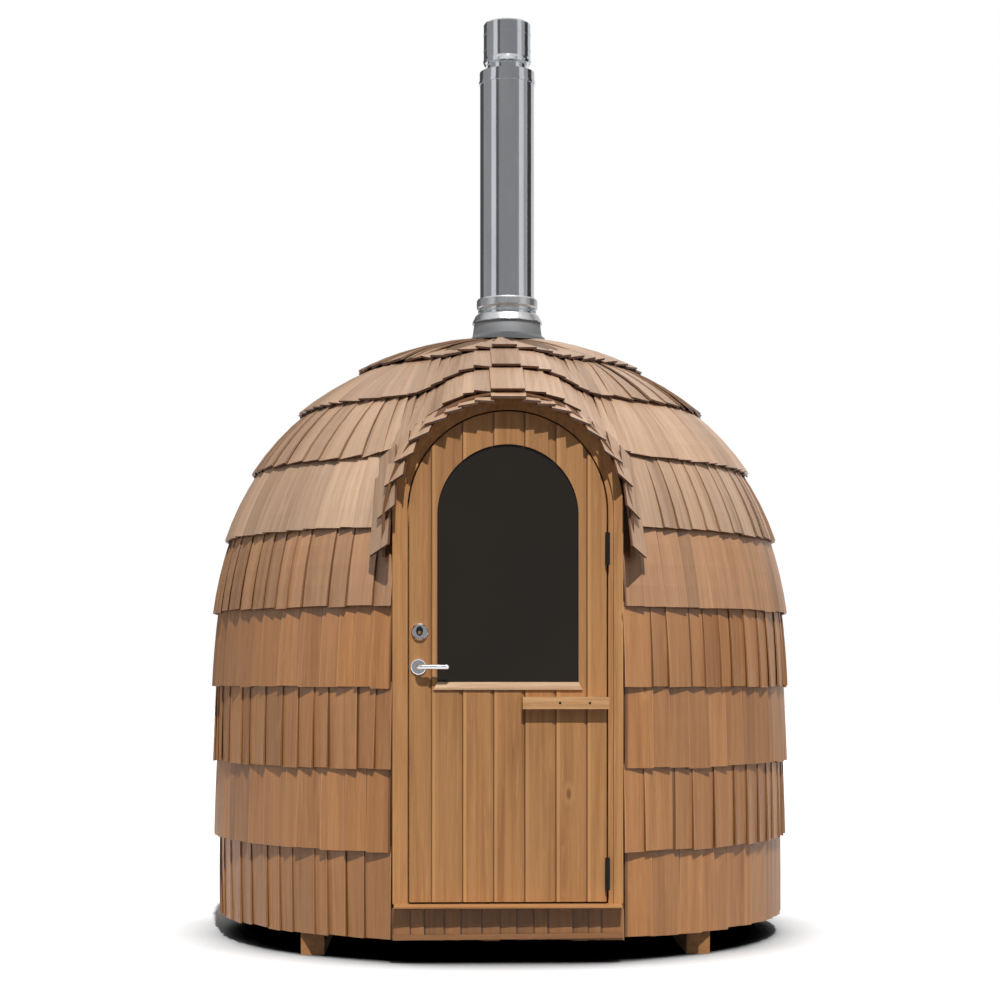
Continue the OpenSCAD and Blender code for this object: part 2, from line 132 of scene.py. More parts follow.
def mix(a, b, t):
    """Straight blend from a (t = 0) to b (t = 1)."""
    return a + (b - a) * t


def grid_faces(rows, cols, close_cols=False):
    """Quads of a grid of rows x cols points, closed along the columns if asked."""
    i, j = np.meshgrid(np.arange(rows - 1), np.arange(cols - (not close_cols)), indexing="ij")
    j2 = (j + 1) % cols
    quads = np.stack([i * cols + j, i * cols + j2, (i + 1) * cols + j2, (i + 1) * cols + j],
                     axis=-1)
    return quads.reshape(-1, 4)


def make_mesh(name, verts, faces, material, attributes=None):
    """One flat-shaded mesh object from whole arrays. The attribute named end has a value
    for each face, the others for each point."""
    mesh = bpy.data.meshes.new(name)
    mesh.from_pydata(np.asarray(verts, float).tolist(), [], np.asarray(faces).tolist())
    for key, values in (attributes or {}).items():
        vector = values.ndim == 2
        where = "FACE" if key == "end" else "POINT"
        attribute = mesh.attributes.new(key, "FLOAT_VECTOR" if vector else "FLOAT", where)
        attribute.data.foreach_set("vector" if vector else "value",
                                   np.ascontiguousarray(values, np.float32).ravel())
    mesh.materials.append(material)
    mesh.update()
    piece = bpy.data.objects.new(name, mesh)
    bpy.context.scene.collection.objects.link(piece)
    return piece


def make_piece(name, verts, faces, body, material, attributes=None):
    """A piece with its material that rides on a body."""
    piece = make_mesh(name, verts, faces, material, attributes)
    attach(piece, body)
    return piece


def join(parts):
    """Several (verts, faces, attributes) as one."""
    start = np.cumsum([0] + [len(p[0]) for p in parts[:-1]])
    verts = np.concatenate([p[0] for p in parts])
    faces = np.concatenate([p[1] + n for p, n in zip(parts, start)])
    return verts, faces, {key: np.concatenate([p[2][key] for p in parts]) for key in parts[0][2]}


# A direction that no turned piece's axis has.
ASKEW = [0.31, 0.17, 0.93]


def turned(profile, centre, axis, sides):
    """A turned shape: the (radius, height) profile swept round an axis through centre,
    x = r cos(t), y = r sin(t) across the axis, closed by points where r is 0."""
    t = np.linspace(0, 2 * np.pi, sides, endpoint=False)
    axis = unit(np.array(axis, float))
    first = unit(np.cross(axis, ASKEW))
    second = np.cross(axis, first)
    r, h = np.array(profile, float).T
    around = np.cos(t)[:, None] * first + np.sin(t)[:, None] * second
    verts = np.array(centre) + r[:, None, None] * around[None] + h[:, None, None] * axis
    return verts.reshape(-1, 3), grid_faces(len(r), sides, close_cols=True)[:, ::-1]


# ---- the dome's curve

# Heights of the belt and of the dome on it, how far the belt's foot is tucked in, and
# the powers of the dome's rounding.
BELT_H, CROWN_H, TUCK = 0.920, 1.440, 0.034
ROUND_SIDE, ROUND_TOP = 1.8, 2.8


def dome_point(u):
    """Radius and height of the sheathing: u 0..1 runs from foot to belt as a shallow
    parabola, 1..2 from belt to crown as r = R cos(t)^(2/1.8), h = H sin(t)^(2/2.8)."""
    t = np.radians(90 * np.clip(u - 1, 0, 1))
    below = u < 1
    r = np.where(below, DOME_R - TUCK * (1 - u) ** 2,
                 DOME_R * np.maximum(np.cos(t), 1e-9) ** (2 / ROUND_SIDE))
    h = np.where(below, BELT_H * u, BELT_H + CROWN_H * np.sin(t) ** (2 / ROUND_TOP))
    return r, h + FOOT_Z


CURVE_U = np.linspace(0, 2, 4001)
CURVE_R, CURVE_Z = dome_point(CURVE_U)
CURVE_S = np.concatenate([[0], np.cumsum(np.hypot(np.diff(CURVE_R), np.diff(CURVE_Z)))])


def on_curve(s):
    """Radius and height of the sheathing at arc length s above the foot."""
    return np.interp(s, CURVE_S, CURVE_R), np.interp(s, CURVE_S, CURVE_Z)


# ---- course lines

# A line is the sheathing's curve at one course's butts, sampled at these turns about
# the dome's axis, 0 at the door and positive to the right.
TURN = np.linspace(-np.pi, np.pi, 2881)
FRONT = np.abs(TURN) < np.pi / 2
# Lines that sweep over the hood: how far behind the lip they cross its ridge, how
# far the ridge there stands over the hood's boards, and the sweep's width in degrees.
SWEEPS = {6: (0.080, -0.015, 18.5), 7: (0.300, 0.028, 17.5), 8: (0.545, 0.049, 17.0)}
SWEEP_POWER = 3.1
# Turns between which a swept line's points go from keeping their distance to the
# ridge's plane to keeping their turn.
RIDGE_TURN, FREE_TURN = np.radians(8), np.radians(42)
# The lowest course is a little taller than the rest, and the upper ones were laid a
# few millimetres off their marks.
FIRST_EXTRA = 0.018
OFF_MARK = (0, 0, 0.004, 0.004, 0, -0.005, -0.013, -0.005, 0)


def course_foot(k, exposure):
    """Arc length at which course k's butts lie; the top course ends at the flue."""
    if k == 0:
        return 0.0
    if k == COURSES:
        return CURVE_S[np.argmin(np.abs(CURVE_R - FLUE_FOOT_R))]
    return FIRST_EXTRA + k * exposure + OFF_MARK[k]


def line(k, exposure):
    """Points of line k: its ring, raised and pushed forward over the hood by
    exp(-(turn / width)^3.1). Over the hood the points keep their distance from the
    ridge's plane instead of their turn, by the smooth step t^2 (3 - 2t), so that the
    boards there lie side by side."""
    r0, z0 = on_curve(course_foot(k, exposure))
    turn = TURN
    if k in SWEEPS:
        run, lift, width = SWEEPS[k]
        ridge_r = -(LIP_Y + run)
        ridge_z = HOOD_CROWN_Z + run * np.tan(HOOD_SLOPE) + lift
        lowest_run = SWEEPS[6][0]
        side = -(LIP_Y + lowest_run) * np.sin(np.clip(turn, -np.pi / 2, np.pi / 2))
        level = np.arcsin(np.clip(side / ridge_r, -1, 1))
        far = np.clip((np.abs(turn) - RIDGE_TURN) / (FREE_TURN - RIDGE_TURN), 0, 1)
        turn = mix(level, turn, far * far * (3 - 2 * far))
        g = np.exp(-(np.abs(turn) / np.radians(width)) ** SWEEP_POWER)
        r0 = r0 + (ridge_r - r0) * g
        z0 = z0 + (ridge_z - z0) * g
    return np.stack([r0 * np.sin(turn), -r0 * np.cos(turn), z0 + 0 * turn], axis=-1)


def sample(points, where):
    """Points of a line at any turn."""
    return np.stack([np.interp(where, TURN, points[:, i]) for i in range(3)], axis=-1)


def lengths(points):
    """Distance run along a line up to each of its points."""
    return np.concatenate([[0], np.cumsum(np.linalg.norm(np.diff(points, axis=0), axis=1))])


# ---- shingles

# Corners of a board's section, in half widths across and thicknesses out of the roof.
SECTION = np.array([[-1, 0], [1, 0], [1, 1], [-1, 1]])
# How dark the painted shade is on a board's underside, edge, face and edge, and on its ends.
SIDE_PAINTED_SHADE, END_PAINTED_SHADE = (0.0, 0.40, 0.0, 0.40), 1.0
# How unevenly the boards are laid: their spread in swing (radians), in their place
# along the board (metres) and in the height of their lapped edge, and its least and most.
SWING, SLIP = 0.007, 0.0024
LAP_SPREAD, LAP_LEAST, LAP_MOST = 0.24, 0.45, 1.5
# What of the lap is lost at the board's head, and the lift of a board with no lean.
LAP_LOST, MIDDLE_LIFT = 0.62, 0.6
# A board's least and most thickness, and what is left of it at the head, as factors.
LEAST_THICK, MOST_THICK, HEAD_THICK = 0.9, 1.12, 0.5
# Sections of a course's board, of the top course's longer ones, and of short boards.
STEPS, TOP_STEPS, SHORT_STEPS = 5, 8, 3
# Each board's figure starts somewhere in a cube of this half width, and its underside
# and face are this far apart in it, in metres.
GRAIN_HALF, GRAIN_DEEP = 20, 0.01
# Boards whose greying value is above this are too grey for the painted shade line along
# their lapped edge and the painted highlight along their proud edge to show: this factor
# keeps their rim short of both.
GREYED, FADED_RIM = 0.6, 0.7


def board_faces(count, steps):
    """Faces of that many boards of that many sections: the sides and then two ends."""
    ring = grid_faces(steps, 4, close_cols=True)[:, ::-1]
    ends = np.array([[0, 1, 2, 3], np.array([3, 2, 1, 0]) + 4 * (steps - 1)])
    block = np.concatenate([ring, ends])
    return (np.arange(count)[:, None, None] * steps * 4 + block[None]).reshape(-1, 4)


def boards(foot, top, across_hint, width, lean, bulge, base, sizes, rng, steps, past, weather_sheen_shade):
    """Straight boards cut square, one for each row of foot and top points. a = along,
    n = unit(hint x a) out of the roof, a x n across. The face at u along the board is
    foot + a L u + n 4 bulge u(1 - u); the section is a flat box whose one edge stands
    up by lean x lap and whose thickness falls towards the head. Each point also gets
    its place in the board's grain, the board's tone and greying value, and a rim from
    -1 at the lapped edge to 1 at the proud one; each face gets how dark the painted
    shade on it is."""
    count = len(foot)
    axis = unit(top - foot)
    normal = unit(np.cross(across_hint, axis))
    across = np.cross(axis, normal)
    swing = rng.normal(0, SWING, (count, 1))
    axis, across = axis + across * swing, across - axis * swing
    length = np.linalg.norm(top - foot, axis=1)[:, None]
    u = np.linspace(0, 1, steps) * (1 + past)
    bulge = np.broadcast_to(bulge, (count,))[:, None]
    slip = rng.normal(0, SLIP, (count, 1)) * (1 - u)
    rows = (foot[:, None] + axis[:, None] * (length * u + slip)[..., None]
            + normal[:, None] * (4 * bulge * u * (1 - u))[..., None])
    slope = (4 * bulge * (1 - 2 * u) / length)[..., None]
    out = unit(normal[:, None] - axis[:, None] * slope)
    span = mix(width[0][:, None], width[1][:, None], u)
    lap = sizes.lap * np.clip(rng.normal(1.0, LAP_SPREAD, (count, 1)), LAP_LEAST, LAP_MOST)
    skew = lean[:, None] * lap * (1 - LAP_LOST * u)
    base = np.broadcast_to(base, (count,))[:, None]
    lift = mix(base, 0.0, u) + np.abs(lean[:, None] == 0) * sizes.lap * MIDDLE_LIFT
    thick = (mix(sizes.thickness, sizes.thickness * HEAD_THICK, u)
             * rng.uniform(LEAST_THICK, MOST_THICK, (count, 1)))
    side, over = SECTION[None, None, :, 0, None], SECTION[None, None, :, 1, None]
    verts = (rows[:, :, None] + across[:, None, None] * side * span[:, :, None, None] / 2
             + out[:, :, None] * (lift[:, :, None, None] + over * thick[:, :, None, None]
                                  + side * skew[:, :, None, None] / 2))
    shape = (count, steps, 4)
    x = span[:, :, None] * side[..., 0] / 2
    y = np.broadcast_to(over[..., 0] * GRAIN_DEEP, shape)
    z = np.broadcast_to((u * length)[..., None], shape)
    start = rng.uniform(-GRAIN_HALF, GRAIN_HALF, (count, 1, 1, 3))
    grain = np.stack([x, y, z], axis=-1) + start
    weather_sheen_shade = np.broadcast_to(weather_sheen_shade, (count,))
    proud = np.sign(lean) * np.where(weather_sheen_shade > GREYED, FADED_RIM, 1.0)
    attributes = {"grain": grain.reshape(-1, 3)}
    for key, values in (("tone", rng.normal(0, 1, (count, 1, 1))),
                        ("weather_sheen_shade", weather_sheen_shade[:, None, None]),
                        ("rim", side[..., 0] * proud[:, None, None])):
        attributes[key] = np.broadcast_to(values, shape).reshape(-1)
    # Painted shade on each face: some on the edges, the most on the two ends.
    stain = np.concatenate([np.tile(SIDE_PAINTED_SHADE, steps - 1), [END_PAINTED_SHADE, END_PAINTED_SHADE]])
    attributes["end"] = np.tile(stain, count)
    return verts.reshape(-1, 3), board_faces(count, steps), attributes


# How far a board reaches under its neighbour, from and to, and how far past its head
# line, as a part of its length.
UNDER_LEAST, UNDER_MOST = 0.004, 0.009
PAST_HEAD = 0.06


def between_lines(butt, head, edges, lean, bulge, base, sizes, rng, steps, weather_sheen_shade):
    """Boards that fill the strip between a butt line and a head line, meeting at the
    given turns; each reaches a few millimetres under its neighbour."""
    left, right = edges[:-1], edges[1:]
    mid = (left + right) / 2
    foot, top = sample(butt, mid), sample(head, mid)
    span = sample(butt, right) - sample(butt, left)
    head_span = sample(head, right) - sample(head, left)
    axis = unit(top - foot)
    across = np.cross(axis, unit(np.cross(span, axis)))
    extra = rng.uniform(UNDER_LEAST, UNDER_MOST, len(mid))
    width = [np.abs(np.sum(s * across, axis=1)) + extra for s in (span, head_span)]
    foot = foot + across * (extra / 2 * lean)[:, None]
    top = top + across * (extra / 2 * lean)[:, None]
    return boards(foot, top, span, width, lean, bulge, base, sizes, rng, steps, PAST_HEAD,
                  weather_sheen_shade)


# Widths of single boards, as factors of the mean width before they are fitted.
LEAST_WIDTH, MOST_WIDTH = 0.62, 1.32


def uneven(total, pitch, rng):
    """Distances 0..total where boards of uneven width meet."""
    widths = rng.uniform(LEAST_WIDTH, MOST_WIDTH, max(int(round(total / pitch)), 1))
    return np.concatenate([[0], np.cumsum(widths)]) / widths.sum() * total


# Half the width left free at the front of a course: the door's frame, the hood for the
# sixth, and one middle board on the ridge for those that sweep over it.
FREE_HALF = [FRAME_HALF + 0.004] * 5 + [HOOD_HALF, 0.060, 0.050, 0.046]
# Boards within this distance of the ridge's plane are narrower, by this factor.
NEAR_RIDGE, NARROWER = 0.40, 0.66


def course_edges(k, butt, sizes, rng):
    """Turns where the boards of a course meet, on the right and then on the left, from
    the door's frame or the hood, or from a middle board on the ridge, to the back."""
    run = lengths(butt)
    sides = []
    for side in (1, -1):
        first = np.interp(side * FREE_HALF[k], butt[FRONT, 0], TURN[FRONT])
        if k in SWEEPS:
            near = np.interp(side * NEAR_RIDGE, butt[FRONT, 0], TURN[FRONT])
            start, turn, end = np.interp([first, near, side * np.pi], TURN, run)
            narrow = start + side * uneven(abs(turn - start), sizes.width * NARROWER, rng)
            wide = turn + side * uneven(abs(end - turn), sizes.width, rng)
            cuts = np.concatenate([narrow, wide[1:]])
        else:
            start, end = np.interp([first, side * np.pi], TURN, run)
            cuts = start + side * uneven(abs(end - start), sizes.width, rng)
        turns = np.interp(cuts, run, TURN)
        sides.append(turns if side > 0 else turns[::-1])
    return sides


# How far the courses' butts stand off the sheathing; less on the third and fourth.
BUTT_STAND = (0.0130, 0.0130, 0.0085, 0.0085) + (0.0130,) * 5
# How far each course goes to the greyed stain, which is part weathering and part painted
# sheen on the courses that face the sky; above 1 painted shade darkens the top courses.
WEATHER_SHEEN_SHADE = (0.0, 0.0, 0.0, 0.0, 0.35, 1.0, 1.06, 1.20, 1.18)
# Turn within which the boards of a swept course lean down the hood's sides, and the
# turns between which they go from the hood's flat slope to the dome's curve.
HOOD_TURN = np.radians(27)
FLAT_TURN, CURVED_TURN = np.radians(18), np.radians(32)


def lay_course(k, sizes, rng):
    """All boards of course k. Their proud edge points to the right on even courses and
    to the left on odd ones, and down the hood's sides where they sweep over it."""
    butt, head = line(k, sizes.exposure), line(k + 1, sizes.exposure)
    s0, s1 = course_foot(k, sizes.exposure), course_foot(k + 1, sizes.exposure)
    (r0, z0), (rm, zm), (r1, z1) = on_curve(s0), on_curve((s0 + s1) / 2), on_curve(s1)
    sag = np.hypot(rm - (r0 + r1) / 2, zm - (z0 + z1) / 2)
    swept = k in SWEEPS
    sides = course_edges(k, butt, sizes, rng)
    if swept:
        sides.append(np.array([sides[1][-1], sides[0][0]]))
    parts = []
    for edges in sides:
        mid = (edges[1:] + edges[:-1]) / 2
        on_hood = (np.abs(mid) < HOOD_TURN) & swept
        lean = np.where(on_hood, np.sign(np.round(mid, 3)), 1.0 if k % 2 == 0 else -1.0)
        curved = np.clip((np.abs(mid) - FLAT_TURN) / (CURVED_TURN - FLAT_TURN), 0, 1)
        bulge = sag * curved if swept else np.full(len(mid), sag)
        parts.append(between_lines(butt, head, edges, lean, bulge, BUTT_STAND[k], sizes, rng,
                                   STEPS if k < COURSES - 1 else TOP_STEPS, WEATHER_SHEEN_SHADE[k]))
    return join(parts)


class SAUNA_OT_courses(bpy.types.Operator):
    """Nine courses of lapped shingles round the dome, the upper three over the hood"""
    bl_idname = "sauna.courses"
    bl_label = "Shingle courses"

    def execute(self, context):
        sizes = context.scene.sauna_shingles
        wood = shingle_wood(context.scene.sauna_colours)
        with_hood = dict(zip(SWEEPS, ("hood_course_low", "hood_course_mid", "hood_course_top")))
        for k in range(COURSES):
            rng = np.random.default_rng(sizes.seed + k)
            verts, faces, attributes = lay_course(k, sizes, rng)
            piece = make_piece(f"shingles_{k + 1}", verts, faces, "building",
                               wood, attributes)
            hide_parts(*[n for n in (f"course_{k + 1}", with_hood.get(k)) if n])
        return {"FINISHED"}


# ---- hood's lip

LIP_R, LIP_MIDDLE_Z = 0.4475, 1.600
LIP_QUARTER = LIP_R * np.pi / 2
# Below the arch's spring the lip leans out by this much of its drop.
LIP_LEAN = 0.14
# How far the lip's boards stand behind the hood's front, and how much further back they
# go at the foot of the left side, and on the right, where the open leaf passes.
LIP_SET, LEFT_BACK, RIGHT_BACK = 0.0130, 0.010, 0.015
RIGHT_BACK_FROM, RIGHT_BACK_OVER = 0.22, 0.14
# Angles from the crown at which the lip's boards meet, and how far below the arch's
# spring its last board ends.
LIP_MARKS = np.radians([7.4, 14.2, 22.0, 30.0, 39.2, 49.2, 60.7, 72.3, 87.0])
LIP_END = 0.134
# The lip's shape by distance from the crown along it, as (distances, values there): how
# far a board's length and its upward side tip outwards, the turn of the fan, a board's
# length, its own width, and how far that gives way to the room between its marks.
LIP_SHAPE = {
    "tip_back": ([0, 0.30, 0.70], [0.0, 0.05, 0.25]),
    "tip_up": ([0, 0.45, 0.70], [0.0, 0.02, 0.10]),
    "fan": ([0, 0.20, 0.40, 0.60, 0.80], np.radians([0, 10, 24, 44, 58])),
    "reach": ([0, 0.40, 0.62, 0.80], [0.12, 0.13, 0.19, 0.25]),
    "own_width": ([0, 0.5, 0.8], [0.100, 0.104, 0.128]),
    "fitted": ([0, 0.45, 0.60], [1.0, 1.0, 0.0]),
}
# How far the boards' lower ends slide down along the lip and are drawn in towards the
# opening, at these distances from the crown.
FOOT_AT = [0.20, 0.27, 0.345, 0.425, 0.515, 0.62, 0.74]
SLID_DOWN = [0, 0.010, 0.013, 0.027, 0.032, 0.049, 0.060]
DRAWN_IN = [0, 0, 0.004, 0.013, 0.023, 0.028, 0.020]
# What is left of drawing in on the right, where the open leaf passes.
RIGHT_DRAWN = 0.45
# Spread of the marks, the lap of a board over the next one, and how far the lean is
# kept and the boards stand off where the lip is steep.
MARK_SPREAD, LIP_LAP, STEEP_LEAN, STEEP_STAND = 0.003, 0.012, 0.4, 0.009
STEEP_FROM, STEEP_OVER = 0.35, 0.3
# Half the stretch over which the lip's direction is taken, and the least room of a board.
LIP_STEP, LEAST_ROOM = 0.01, 0.05
# The lip's boards take most of the greyed stain, part weathering and part painted sheen.
LIP_WEATHER_SHEEN = 0.95


def lip_point(run):
    """A point of the lip's boards at signed arc length from the crown: a circle down to
    its spring, and below it a straight line that leans out."""
    angle = np.clip(np.abs(run), 0, LIP_QUARTER) / LIP_R
    beyond = np.maximum(np.abs(run) - LIP_QUARTER, 0)
    x = LIP_R * np.sin(angle) + LIP_LEAN * beyond
    z = LIP_MIDDLE_Z + LIP_R * np.cos(angle) - beyond
    back = (LEFT_BACK * np.clip(-run / LIP_QUARTER, 0, 1)
            + RIGHT_BACK * np.clip((run - RIGHT_BACK_FROM) / RIGHT_BACK_OVER, 0, 1))
    return np.stack([np.sign(run) * x, LIP_Y + LIP_SET + back, z], axis=-1)


def lip_side(side, sizes, rng):
    """The lip's boards on one side, 1 for right and -1 for left, or for 0 the one at the
    crown. Their faces look out of the arch; their feet slide down it and draw in."""
    marks = np.append(LIP_R * LIP_MARKS, LIP_QUARTER + LIP_END)
    if side:
        edges = marks + rng.normal(0, MARK_SPREAD, len(marks))
    else:
        edges = np.array([-marks[0], marks[0]])
    near, far = edges[:-1], edges[1:]
    signed = side or 1.0
    mid = signed * (near + far) / 2
    run = np.abs(mid)[:, None]
    shape = {key: np.interp(run, *table) for key, table in LIP_SHAPE.items()}
    room = np.linalg.norm(lip_point(signed * far) - lip_point(signed * near), axis=1)
    down = unit(lip_point(mid + signed * LIP_STEP) - lip_point(mid - signed * LIP_STEP))
    ridge = np.array([0, np.cos(HOOD_SLOPE), np.sin(HOOD_SLOPE)])
    out = np.cross(down, ridge) * signed
    back = unit(ridge + out * shape["tip_back"])
    up = unit(-down - out * shape["tip_up"])
    width = mix(shape["own_width"][:, 0], np.maximum(room, LEAST_ROOM) + LIP_LAP,
                shape["fitted"][:, 0])
    foot = lip_point(mid) + back * (np.sin(shape["fan"]) * width[:, None] / 2)
    top = foot + (np.cos(shape["fan"]) * back + np.sin(shape["fan"]) * up) * shape["reach"]
    inwards = out * np.interp(run, FOOT_AT, DRAWN_IN) * (RIGHT_DRAWN if side > 0 else 1.0)
    foot = foot + down * np.interp(run, FOOT_AT, SLID_DOWN) - inwards
    steep = np.clip((run[:, 0] - STEEP_FROM) / STEEP_OVER, 0, 1)
    lean = side * mix(1.0, STEEP_LEAN, steep)
    return boards(foot, top, -up * signed, [width, width], lean, 0.0, STEEP_STAND * steep,
                  sizes, rng, SHORT_STEPS, 0.0, LIP_WEATHER_SHEEN)


def lip_boards(sizes, rng):
    """The lip's boards: at the crown they lie along the ridge, and towards the hood's
    ends they turn up like a fan. Each board's lower edge laps over the next one. All
    their edges take the full painted shade of their ends."""
    verts, faces, attributes = join([lip_side(side, sizes, rng) for side in (1.0, -1.0, 0.0)])
    # Every edge of the lip's boards gets the full painted shade.
    attributes["end"] = np.ceil(attributes["end"])
    return verts, faces, attributes


class SAUNA_OT_lip(bpy.types.Operator):
    """The boards at the hood's lip and down its two ends"""
    bl_idname = "sauna.lip"
    bl_label = "Hood lip"

    def execute(self, context):
        sizes = context.scene.sauna_shingles
        wood = shingle_wood(context.scene.sauna_colours)
        verts, faces, attributes = lip_boards(sizes, np.random.default_rng(sizes.seed + 40))
        piece = make_piece("shingles_lip", verts, faces, "building", wood, attributes)
        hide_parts("hood_lip")
        return {"FINISHED"}


# ---- band under the sill

# Mean width of the band's boards, the slit between two, their lean, how far their feet
# stand off, and the painted shade of the sill's shadow on the band, in steps of a
# board's own tone.
BAND_PITCH, BAND_SLIT, BAND_LEAN, BAND_STAND, BAND_PAINTED_SHADE = 0.066, 0.001, 0.62, 0.0035, -4.5
# The batten: its width, how far its ends stay inside the band, its place behind the
# band's front and above its foot, and how far its start is let in.
BATTEN_W, BATTEN_IN, BATTEN_BACK, BATTEN_RISE = 0.019, 0.004, 0.0045, 0.010
BATTEN_STAND = -0.0075


class SAUNA_OT_band(bpy.types.Operator):
    """Short shingles under the door's sill, with a batten along their foot"""
    bl_idname = "sauna.band"
    bl_label = "Band under the sill"

    def execute(self, context):
        sizes = context.scene.sauna_shingles
        rng = np.random.default_rng(sizes.seed + 60)
        (left, front, foot_z), (right, back, head_z) = box("front_shingles")
        edges = left + uneven(right - left, BAND_PITCH, rng)
        x = (edges[1:] + edges[:-1]) / 2
        foot, top = [np.stack([x, 0 * x + back - BAND_SLIT, 0 * x + z], axis=-1)
                     for z in (foot_z + BAND_SLIT, head_z - BAND_SLIT)]
        width = np.diff(edges) - BAND_SLIT
        hint = np.tile([1.0, 0, 0], (len(x), 1))
        row = boards(foot, top, hint, [width, width], np.full(len(x), BAND_LEAN), 0.0,
                     BAND_STAND, sizes, rng, SHORT_STEPS, 0.0, 0.0)
        start = np.array([[left + BATTEN_IN, front + BATTEN_BACK, foot_z + BATTEN_RISE]])
        end = start + [[right - left - 2 * BATTEN_IN, 0, 0]]
        batten = boards(start, end, np.array([[0, 0, -1.0]]), [np.array([BATTEN_W])] * 2,
                        np.array([0.0]), 0.0, BATTEN_STAND, sizes, rng, SHORT_STEPS, 0.0, 0.0)
        verts, faces, attributes = join([row, batten])
        # The band's boards take painted shade for the sill's shadow.
        attributes["tone"] += BAND_PAINTED_SHADE
        wood = shingle_wood(context.scene.sauna_colours)
        piece = make_piece("band_shingles", verts, faces, "building", wood, attributes)
        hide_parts("front_shingles")
        return {"FINISHED"}


# ---- small hardware

# Turned profiles as (radius, height) points, in metres: the key plate and the core in
# it, and a screw's head.
KEY_PLATE = [(0, 0.0018), (0.010, 0.0018), (0.0125, 0.0010), (0.0130, -0.001), (0, -0.001)]
KEY_CORE = [(0, 0.0034), (0.0056, 0.0034), (0.0064, 0.0026), (0.0066, 0.0), (0, 0.0)]
SCREW_HEAD = [(0, 0.0004), (0.0022, 0.0006), (0.0042, 0.0012), (0.0048, 0.0004),
              (0.005, -0.002), (0, -0.002)]
# Depth of the key plate's middle below the upper rose's top, how much taller than wide
# the plate is, and how far the core sits below its middle.
KEY_DROP, KEY_TALL, CORE_DROP = 0.028, 1.35, 0.006
# Places of the screws as parts of the stop bar's length.
SCREWS = (0.43, 0.775)
# The way the closed door faces, and how near an end of the bar its points are taken.
FORWARD = (0, -1, 0)
BAR_END = 0.004


class SAUNA_OT_hardware(bpy.types.Operator):
    """The lock's key plate and the screws of the stop bar"""
    bl_idname = "sauna.hardware"
    bl_label = "Small hardware"

    def execute(self, context):
        rose_low, rose_high = box("roses")
        x, z = (rose_low[0] + rose_high[0]) / 2, rose_high[2] - KEY_DROP
        face = rose_low[1]
        verts, faces = turned(KEY_PLATE, (x, face, z), FORWARD, 32)
        verts[:, 2] = z + (verts[:, 2] - z) * KEY_TALL
        make_piece("key_plate", verts, faces, "door", black_paint())
        verts, faces = turned(KEY_CORE, (x, face, z - CORE_DROP), FORWARD, 24)
        brass = metal("brass", (0.42, 0.24, 0.10), 0.3)
        make_piece("key_core", verts, faces, "door", brass)
        bar_low, bar_high = box("stop_bar")
        parts = []
        for along in SCREWS:
            x = mix(bar_low[0], bar_high[0], along)
            spot = (x, bar_face(x), (bar_low[2] + bar_high[2]) / 2)
            verts, faces = turned(SCREW_HEAD, spot, FORWARD, 16)
            parts.append((verts, faces, {}))
        verts, faces, _ = join(parts)
        make_piece("bar_screws", verts, faces, "door", black_paint())
        return {"FINISHED"}


def bar_face(x):
    """Front face of the stop bar at x, a plane through its two ends' front edges."""
    points = np.array([v.co[:] for v in bpy.data.objects["stop_bar"].data.vertices])
    ends = [points[:, 0].min(), points[:, 0].max()]
    fronts = [points[np.abs(points[:, 0] - end) < BAR_END][:, 1].min() for end in ends]
    return np.interp(x, ends, fronts)


# ---- materials

def feed(tree, node, **inputs):
    """Feed a node's inputs: a value that is a socket is linked, any other is set. In a
    name _ stands for a space, and i0, i1 and so on are inputs by number."""
    for key, value in inputs.items():
        socket = node.inputs[int(key[1:]) if key[1:].isdigit() else key.replace("_", " ")]
        if isinstance(value, bpy.types.NodeSocket):
            tree.links.new(value, socket)
        else:
            socket.default_value = value
    return node


def add(tree, kind, **inputs):
    """A shader node with its inputs fed."""
    return feed(tree, tree.nodes.new(kind), **inputs)


def maths(tree, what, a, b=0.0, clamp=False):
    """A Math node's value."""
    made = add(tree, "ShaderNodeMath", i0=a, i1=b)
    made.operation = what
    made.use_clamp = clamp
    return made.outputs[0]


def ramp(tree, factor, stops):
    """A colour ramp through (place, colour) stops."""
    made = add(tree, "ShaderNodeValToRGB", i0=factor)
    band = made.color_ramp
    while len(band.elements) < len(stops):
        band.elements.new(0.5)
    for element, (place, colour) in zip(band.elements, stops):
        element.position = place
        element.color = (*colour, 1)
    return made.outputs[0]


def grey(tree, factor, stops):
    """A colour ramp through (place, brightness) stops."""
    return ramp(tree, factor, [(place, (value,) * 3) for place, value in stops])


def blend(tree, how, factor, a, b):
    """A colour Mix node's result: its factor is input 0 and its colours 6 and 7."""
    made = tree.nodes.new("ShaderNodeMix")
    made.data_type = "RGBA"
    made.blend_type = how
    a, b = [(*value, 1) if isinstance(value, tuple) else value for value in (a, b)]
    return feed(tree, made, i0=factor, i6=a, i7=b).outputs[2]


def new_material(name):
    """A node material with its Principled shader."""
    material = bpy.data.materials.new(name)
    material.use_nodes = True
    tree = material.node_tree
    return material, tree, tree.nodes["Principled BSDF"]


def coords(tree, kind="Object"):
    """Texture coordinates of one kind."""
    return tree.nodes.new("ShaderNodeTexCoord").outputs[kind]


def stretched(tree, vector, scale):
    """The vector times a scale on each axis."""
    return add(tree, "ShaderNodeMapping", Vector=vector, Scale=scale).outputs[0]


def noise(tree, vector, scale, detail, rough=0.5, distortion=0.0):
    """A noise value on the vector times a scale on each axis."""
    return add(tree, "ShaderNodeTexNoise", Vector=stretched(tree, vector, scale), Scale=1.0,
               Detail=detail, Roughness=rough, Distortion=distortion).outputs[0]


def tinted(colour, red, green, blue):
    """A colour with a factor on each channel."""
    return tuple(min(c * k, 1) for c, k in zip(colour, (red, green, blue)))


def product(tree, a, b):
    """Two values multiplied."""
    return maths(tree, "MULTIPLY", a, b)


